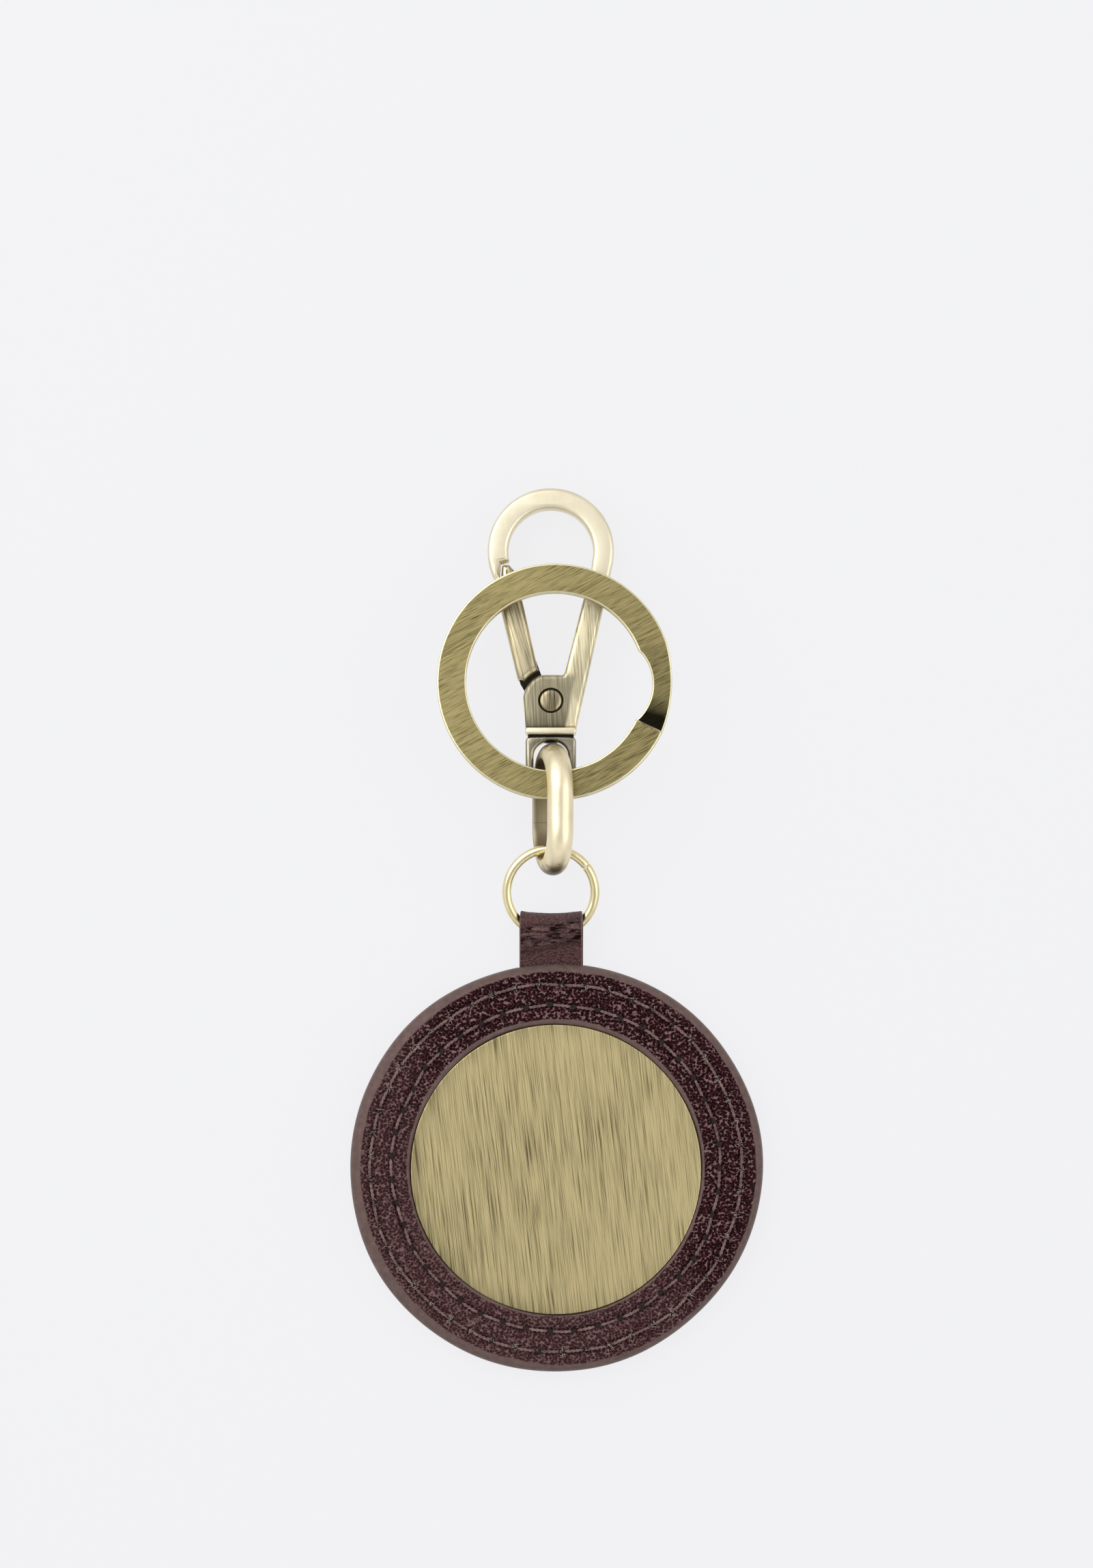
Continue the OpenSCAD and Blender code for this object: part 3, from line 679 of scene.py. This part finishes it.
# metal disc
rows = []
dp = [(0.02, 2.42), (18.1, 2.42), (18.39, 2.44), (18.39, 3.20), (18.375, 3.235), (18.33, 3.248), (18.2, 3.25), (17.8, 3.25), (16, 3.25), (12, 3.25), (8, 3.25), (4, 3.25), (0.02, 3.25)]
for i in range(360):
    th = 2 * pi * i / 360
    rows.append([(r * cos(th) * 1.003, r * sin(th) - DROP, z) for r, z in dp])
add("disc_plate", *tube(rows, close_u=True), M_DISC, "fob", "metal_disc", "antique_brass_brushed", angle=50)

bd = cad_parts["fob_core_board"]
for s in bd.material_slots:
    s.material = board_mat()
if not bd.material_slots:
    bd.data.materials.append(board_mat())

# ---------------------------------------------------------------- strap
mid_r = LOOP_R + STRAP_T / 2
path = [(21.7, 2.09), (24.0, 2.09), (25.6, 2.12), (26.8, 2.5), (28.2, 3.35), (29.3, 4.05)]
path += [(LOOP_Y - 0.32 + mid_r * cos(rad(a)), LOOP_Z + mid_r * sin(rad(a))) for a in (100, 82, 64, 46, 28, 10, -10, -28, -46, -64, -82, -100)]
path += [(29.3, 1.15), (28.2, 1.2), (26.8, 1.4), (25.6, 1.49), (24.0, 1.51), (21.7, 1.51)]


def catmull(pts, k):
    out = []
    for i in range(len(pts) - 1):
        p0, p1, p2, p3 = pts[max(i - 1, 0)], pts[i], pts[i + 1], pts[min(i + 2, len(pts) - 1)]
        for j in range(k):
            t = j / k
            out.append(tuple(0.5 * (2 * b + (c_ - a) * t + (2 * a - 5 * b + 4 * c_ - d) * t * t + (-a + 3 * b - 3 * c_ + d) * t ** 3)
                             for a, b, c_, d in zip(p0, p1, p2, p3)))
    return out + [pts[-1]]


cp = catmull(path, 7)
rows = []
half = STRAP_W / 2
cross = []
NX = 44
for i in range(NX + 1):
    u = -1 + 2 * i / NX
    cross.append((u * (half - 0.16), STRAP_T / 2))
cross += [(half - 0.06, STRAP_T / 2 - 0.05), (half, STRAP_T / 2 - 0.17), (half, -STRAP_T / 2 + 0.17), (half - 0.06, -STRAP_T / 2 + 0.05)]
for i in range(NX + 1):
    u = 1 - 2 * i / NX
    cross.append((u * (half - 0.16), -STRAP_T / 2))
cross += [(-half + 0.06, -STRAP_T / 2 + 0.05), (-half, -STRAP_T / 2 + 0.17), (-half, STRAP_T / 2 - 0.17), (-half + 0.06, STRAP_T / 2 - 0.05)]
for i, (y, z) in enumerate(cp):
    a, b = cp[max(i - 1, 0)], cp[min(i + 1, len(cp) - 1)]
    t = Vector((b[0] - a[0], b[1] - a[1])).normalized()
    nrm = Vector((-t[1], t[0]))
    ring = []
    for cx, cz in cross:
        e = (cx / half) ** 2
        tip = max(0.0, (y - 29.2) / 3.4)
        if cz < 0 and y > 28.6:
            cz *= 1 - 0.75 * min(1.0, (y - 28.6) / 0.6)
        yy = y + tip * (0.34 * e - 0.12)
        d = cz
        if cz > 0.1 and z > 2.3:
            band = math.exp(-((y - 29.6) / 1.3) ** 2)
            q = noise.noise(Vector((cx * 0.75 + yy * 0.9, (yy - cx * 0.45) * 1.5, 1.3)))
            d += band * 0.20 * q + 0.03 * noise.noise(Vector((cx * 2.0, yy * 2.0, 8)))
        narrow = 1 - 0.035 * max(0.0, (y - 31.0) / 1.3) ** 2
        ring.append((CHAIN + 0.06 + cx * narrow, yy + nrm[0] * d, z + nrm[1] * d))
    rows.append(ring)
v, f = tube(rows)
add("strap_leather", v, f, M_STRAP, "fob", "strap_loop", "leather")

# ---------------------------------------------------------------- jump ring
J = Matrix.Translation((CHAIN, LINK_A - 2.85 - JUMP_R * cos(JUMP_TILT), 4.85 - JUMP_R * sin(JUMP_TILT))) @ Matrix.Rotation(JUMP_TILT, 4, 'X') @ Matrix.Rotation(rad(38), 4, 'Z')
rows = []
K = 220
for i in range(K + 1):
    a = rad(0.15 + 358.9 * i / K)
    rw = JUMP_W * (1 - 0.10 * (i in (0, K)))
    rows.append([((JUMP_R + rw * cos(b)) * cos(a), (JUMP_R + rw * cos(b)) * sin(a), rw * sin(b)) for b in [2 * pi * k / 24 for k in range(24)]])
add("jump_ring_wire", *tube(rows), M_JUMP, "jump_ring", "jump_ring", "antique_brass_polished", LINK and J, angle=50)

# ---------------------------------------------------------------- oval link
ctr = LINK_R - LINK_W / 2


def half_round():
    """Cross-section of the half-round wire: outwards u, sideways w."""
    flat = -(LINK_T - LINK_W / 2)
    a0 = math.acos(flat / (LINK_W / 2))
    pts = []
    for k in range(29):
        a = -a0 + 2 * a0 * k / 28
        pts.append((LINK_W / 2 * cos(a), LINK_W / 2 * sin(a)))
    hw = pts[-1][1]
    pts += [(flat - 0.10, hw - 0.16), (flat - 0.14, hw * 0.6), (flat - 0.15, 0.0), (flat - 0.14, -hw * 0.6), (flat - 0.10, -hw + 0.16)]
    return pts


sec = half_round()
stations = []
seam = 43.86
for i in range(30):
    stations.append(("lo", seam + 0.02 + (LINK_B - seam - 0.03) * i / 30))
for i in range(61):
    stations.append(("end", -90 + 180 * i / 60))
for i in range(1, 24):
    stations.append(("hi", LINK_B + (LINK_A - LINK_B) * i / 24))
for i in range(61):
    stations.append(("near", 90 + 180 * i / 60))
stations.append(("lo", seam - 0.02))
rows = []
for kind, q in stations:
    ring = []
    for u, w in sec:
        if kind == "lo":
            p = (w, q, -(ctr + u))
        elif kind == "hi":
            p = (w, q, ctr + u)
        else:
            y0 = LINK_B if kind == "end" else LINK_A
            p = (w, y0 + (ctr + u) * cos(rad(q)), (ctr + u) * sin(rad(q)))
        ring.append(p)
    rows.append(ring)
core = [[(w * 0.985, q, -(ctr + u * 0.985)) for u, w in sec] for q in (seam - 0.08, seam + 0.08)]
add("link_seam_core", *tube(core), M_OXIDE_AND_SHADE, "link", None, "dark_antique", LINK, angle=38)
add("oval_link_wire", *tube(rows), M_LINK, "link", "connector_link", "antique_brass_polished", LINK, angle=38)


# ---------------------------------------------------------------- key ring: one flat strip wound twice
def strip_rows():
    total = 315 + 45 + 315
    rows = []
    steps = 540
    b = 0.20
    marks = [0, 0.3, 0.6, 0.95] + [total * i / steps for i in range(1, steps)] + [total - 0.95, total - 0.6, total - 0.3, total]
    for s in marks:
        ang = rad(-25 - s)
        if s <= 315:
            z, t = KEY_T + 0.05, 0.0
        elif s >= 360:
            z, t = 0.0, 1.0
        else:
            t = (s - 315) / 45
            z = (KEY_T + 0.05) * (1 - (3 * t * t - 2 * t * t * t))
        k = sin(pi * t) if 0 < t < 1 else 0
        r0, r1 = KEY_R - KEY_W + 1.05 * k ** 0.8 if k else KEY_R - KEY_W, KEY_R - 0.18 * k
        endround = 0.0
        e = min(s, total - s) * rad(1) * KEY_R
        if e < 0.5:
            endround = 0.5 - math.sqrt(max(0, 0.25 - (0.5 - e) ** 2))
        r1 -= endround * 0.7
        r0 += endround * 0.3
        lid = KEY_T - 0.30 * max(0.0, 1 - e / 0.24)
        pr = [(r0 + b, 0), (r0 + b * 0.3, b * 0.3), (r0, b), (r0, lid - b), (r0 + b * 0.3, lid - b * 0.3), (r0 + b, lid), (r0 + b * 1.2, lid),
              (r0 + 0.4 * (r1 - r0), lid), (r0 + 0.7 * (r1 - r0), lid),
              (r1 - b * 1.2, lid), (r1 - b, lid), (r1 - b * 0.3, lid - b * 0.3), (r1, lid - b), (r1, b), (r1 - b * 0.3, b * 0.3), (r1 - b, 0),
              (r0 + 0.7 * (r1 - r0), 0), (r0 + 0.4 * (r1 - r0), 0)]
        rows.append([(q * cos(ang), q * sin(ang), z + zz) for q, zz in pr])
    return rows


strip = add("key_ring_strip", *tube(strip_rows()), [M_RING, M_RING_EDGE], "key_ring", "split_key_ring", "antique_brass_brushed", KEY, angle=35)
key_axes = KEY.to_3x3().transposed()
for poly in strip.data.polygons:
    if 0.3 < abs((key_axes @ poly.normal).z) < 0.95:
        poly.material_index = 1

# ---------------------------------------------------------------- snap hook
outline = [(-3.24, -3.48), (-3.36, -1.6), (-3.5, 0.3)]
outline += arc(0, 0, 3.55, 172, 116, 10)
outline += [(-1.1, 3.27), (-0.6, 3.3), (0.6, 3.3), (1.35, 3.28), (1.62, 3.36), (1.78, 3.6)]
outline += [(2.6, 6.8), (3.6, 10.75), (4.6, 14.7), (5.12, 16.7)]
outline += arc(0, HEAD_Y, HEAD_IN, -13, 193, 60)
outline += [(-5.33, 17.78), (-6.38, 17.5), (-6.52, 15.4), (-6.9, 15.1), (-7.12, 15.3)]
outline += arc(0, HEAD_Y, HEAD_R, 206.5, -14, 80)
outline += [(7.6, 16.2), (6.54, 11.39), (5.4, 6.2), (4.15, 0.62), (3.7, -1.4), (3.26, -3.48)]
v, f = plate(outline, HOOK_T, 0.6, 6)
hb = add("snap_hook_body", v, f, [M_HOOK, M_ARM], "hook", "hook_body", "antique_brass_brushed", HOOK, angle=32)
slot_pts = [(-7, -0.6), (-2.4, -0.6)] + arc(0, 0, 2.5, 194, 372, 24) + [(1.7, 0.9), (1.7, 3.0), (1.45, 5.2), (-7, 5.2)]
cut(hb, *prism(slot_pts, -0.9, 0.9), HOOK)
for s in (0, 1):
    z0, z1 = (HOOK_T / 2 - 0.35, 3) if s else (-3, -HOOK_T / 2 + 0.35)
    cut(hb, *prism(arc(0, 0, 1.62, 0, 360 - 7.5, 47), z0, z1), HOOK)
cut(hb, *prism(arc(0, 0, 0.76, 0, 345, 23), -3, 3), HOOK)
for y in (12.2,):
    bm = bmesh.new()
    bm.from_mesh(hb.data)
    bmesh.ops.bisect_plane(bm, geom=bm.verts[:] + bm.edges[:] + bm.faces[:], plane_co=(HOOK @ Vector((0, y, 0))) * MM, plane_no=HOOK.to_3x3() @ Vector((0, 1, 0)), dist=1e-8)
    bm.to_mesh(hb.data)
    bm.free()
me = hb.data
me.polygons.foreach_set("use_smooth", [True] * len(me.polygons))
me.set_sharp_from_angle(angle=rad(32))
inv = HOOK.inverted()
for p in me.polygons:
    q = inv @ (p.center * 1000)
    flank = abs((inv.to_3x3() @ p.normal).z) < 0.5
    p.material_index = 1 if q.y > 12.2 or flank else 0

# base bar
bx = 3.25
bar = [(-bx + 0.47, -4.34), (bx - 0.47, -4.34)] + arc(bx - 0.47, -3.87, 0.47, -80, 80, 8) + arc(-bx + 0.47, -3.87, 0.47, 100, 260, 8)
v, f = plate(bar, 4.1, 0.3, 4)
add("hook_base_bar", v, f, M_ARM, "hook", None, "antique_brass_polished", HOOK, angle=40)

# dark groove round the rivet, then the rivet
parts = []
for sgn in (-1, 1):
    ring = []
    for i in range(48):
        th = 2 * pi * i / 48
        ring.append([(q * cos(th), q * sin(th), sgn * z) for q, z in ((1.30, 1.34), (1.66, 1.34), (1.66, 1.52), (1.30, 1.52))])
    parts.append(tube(ring, close_u=True))
add("rivet_groove", *merge(parts), M_OXIDE_AND_SHADE, "hook", None, "dark_antique", HOOK, angle=40)
rows = []
rp = [(0.01, 1.86), (0.9, 1.85), (1.2, 1.80), (1.36, 1.70), (1.42, 1.58), (1.42, 1.36), (0.76, 1.34), (0.75, 1.2), (0.75, -1.2), (0.76, -1.34), (1.42, -1.36), (1.42, -1.58), (1.36, -1.70), (1.2, -1.80), (0.9, -1.85), (0.01, -1.86)]
for i in range(64):
    th = 2 * pi * i / 64
    rows.append([(r * cos(th), r * sin(th), z) for r, z in rp])
add("gate_rivet_heads", *tube(rows, close_u=True), M_PLATE, "hook", "gate_rivet", "antique_brass_brushed", HOOK, angle=40)

# gate
go = [(-4.2, 2.75), (-5.2, 6.9), (-6.2, 11.0), (-7.1, 14.85), (-7.0, 15.0), (-6.36, 15.1), (-6.2, 17.15), (-6.05, 17.3), (-5.35, 17.35), (-5.15, 17.2), (-4.44, 16.4), (-3.5, 12.3), (-2.6, 8.3), (-1.66, 4.05)]
go += arc(0, 0, 4.12, 110, 143, 8)
v, f = plate(go, 3.1, 0.72, 6)
tang = [(-2.9, 0.6), (-3.85, 2.2), (-4.1, 3.0), (-4.0, 4.4), (-1.9, 5.2), (-1.25, 3.4), (-0.6, 2.25)] + arc(0, 0, 2.3, 75, -190, 40)
tv, tf = plate(tang, 1.6, 0.06, 2)
gate = add("snap_gate_arm", v, f, [M_GATE, M_ARM], "gate", "hook_gate", "antique_brass_brushed", HOOK, angle=32)
for p in gate.data.polygons:
    if abs((HOOK.to_3x3().inverted() @ p.normal).z) < 0.5:
        p.material_index = 1
# the tang's dark colour is painted shade in the gap between the gate's end and the body
tg = add("snap_gate_tang", tv, tf, M_OXIDE_AND_SHADE, "gate", None, "dark_antique", HOOK, angle=32)
cut(tg, *prism(arc(0, 0, 1.55, 0, 360 - 7.5, 47), 0.0, 2), HOOK)
cut(tg, *prism(arc(0, 0, 0.79, 0, 345, 23), -3, 3), HOOK)
cut(tg, *prism([(-1.3, -3), (1.3, -3), (1.3, 0), (-1.3, 0)], 0.0, 2), HOOK)

# swivel eye
eo = arc(-2.4, -5.25, 0.82, 180, 100, 8) + [(-1.2, -4.42), (1.2, -4.42)] + arc(2.4, -5.25, 0.82, 80, 0, 8)
eo += [(3.2, -7.0)] + arc(2.3, -9.2, 0.9, 0, -90, 8) + arc(-2.3, -9.2, 0.9, -90, -180, 8)
hole = arc(-1.5, -8.28, 0.70, 180, 270, 6) + arc(1.5, -8.28, 0.70, 270, 360, 6) + [(2.2 * cos(rad(a)), -6.95 + 1.83 * sin(rad(a))) for a in range(0, 181, 9)]
v, f = plate(eo, 2.8, 0.42, 5, [hole])
add("swivel_eye_casting", v, f, M_EYE, "eye", "swivel_eye", "dark_antique", HOOK, angle=40)
# painted shadow: a dark sheet in the gap under the base bar, where the bar shades the eye's top
gap_shadow_line = [(-2.9, -4.36), (-2.9, -4.72), (-1.2, -4.60), (0, -4.56), (1.2, -4.60), (2.9, -4.72), (2.9, -4.36)]
v, f = prism(gap_shadow_line[::-1], -1.2, 1.46)
add("swivel_gap_shadow", v, f, M_OXIDE_AND_SHADE, "eye", None, "dark_antique", HOOK, angle=30)
# swivel post: its dark colour is painted shade where its head shows in the eye's hole
rows = []
for y, r_ in ((-5.32, 0.02), (-5.32, 0.8), (-5.25, 1.12), (-5.10, 1.2), (-5.05, 0.82), (-4.6, 0.82), (-3.42, 0.82), (-3.38, 1.08), (-2.8, 1.1), (-2.66, 0.9), (-2.66, 0.02)):
    rows.append([(r_ * cos(2 * pi * k / 32), y, r_ * sin(2 * pi * k / 32)) for k in range(32)])
add("swivel_post", *tube(rows), M_OXIDE_AND_SHADE, "eye", None, "dark_antique", HOOK, angle=40)

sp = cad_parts["gate_spring"]
if sp.material_slots:
    for s in sp.material_slots:
        s.material = M_STEEL
else:
    sp.data.materials.append(M_STEEL)

# ---------------------------------------------------------------- floor, light, camera
me = bpy.data.meshes.new("floor")
me.from_pydata([(-1.5, -1.5, -0.0002), (1.5, -1.5, -0.0002), (1.5, 1.5, -0.0002), (-1.5, 1.5, -0.0002)], [], [(0, 1, 2, 3)])
fm = bpy.data.materials.new("floor_mat")
fm.use_nodes = True
nt = fm.node_tree
fb = nt.nodes["Principled BSDF"]
fb.inputs["Base Color"].default_value = (0.06, 0.06, 0.061, 1)
fb.inputs["Roughness"].default_value = 0.95
fb.inputs["Specular IOR Level"].default_value = 0.0
fb.inputs["Emission Color"].default_value = (*srgb(245, 245, 247), 1)
fb.inputs["Emission Strength"].default_value = 0.89
me.materials.append(fm)
floor = bpy.data.objects.new("floor", me)
bpy.context.scene.collection.objects.link(floor)

world = bpy.data.worlds.new("studio")
bpy.context.scene.world = world
world.use_nodes = True
wt = world.node_tree
bg = wt.nodes["Background"]
tc = wt.nodes.new("ShaderNodeTexCoord")
sx = wt.nodes.new("ShaderNodeSeparateXYZ")
wt.links.new(tc.outputs["Generated"], sx.inputs[0])
rp = wt.nodes.new("ShaderNodeValToRGB")
for el_pos, el_val in ((0.0, 0.55), (0.35, 1.0), (0.62, 1.0), (0.86, 0.62), (1.0, 0.40)):
    el = rp.color_ramp.elements.new(el_pos) if el_pos not in (0.0, 1.0) else rp.color_ramp.elements[0 if el_pos == 0.0 else -1]
    el.color = (el_val, el_val, el_val, 1)
wt.links.new(sx.outputs[2], rp.inputs["Fac"])
wt.links.new(rp.outputs["Color"], bg.inputs["Strength"])
bg.inputs["Color"].default_value = (1, 1, 1, 1)


def area(name, loc, target, size, power, spread=180):
    li = bpy.data.lights.new(name, "AREA")
    li.shape, li.size, li.energy = "DISK", size, power
    ob = bpy.data.objects.new(name, li)
    ob.location = loc
    ob.rotation_euler = (Vector(target) - Vector(loc)).to_track_quat('-Z', 'Y').to_euler()
    bpy.context.scene.collection.objects.link(ob)


area("key", (-0.30, 0.24, 0.36), (0, 0.04, 0), 0.66, 2.0)
area("fill", (0.42, 0.0, 0.40), (0, 0.04, 0), 0.60, 0.9)

cam = bpy.data.cameras.new("camera")
co = bpy.data.objects.new("camera", cam)
bpy.context.scene.collection.objects.link(co)
DIST = 1.100
co.location = (-0.0012, 0.0488, DIST)
co.rotation_euler = (0, 0, 0)
cam.sensor_fit = "VERTICAL"
cam.sensor_height = 36
cam.angle_y = 2 * math.atan(0.1993 / 2 / (DIST - 0.0036))
cam.clip_start, cam.clip_end = 0.01, 10
bpy.context.scene.camera = co
bpy.context.scene.view_settings.view_transform = "Standard"
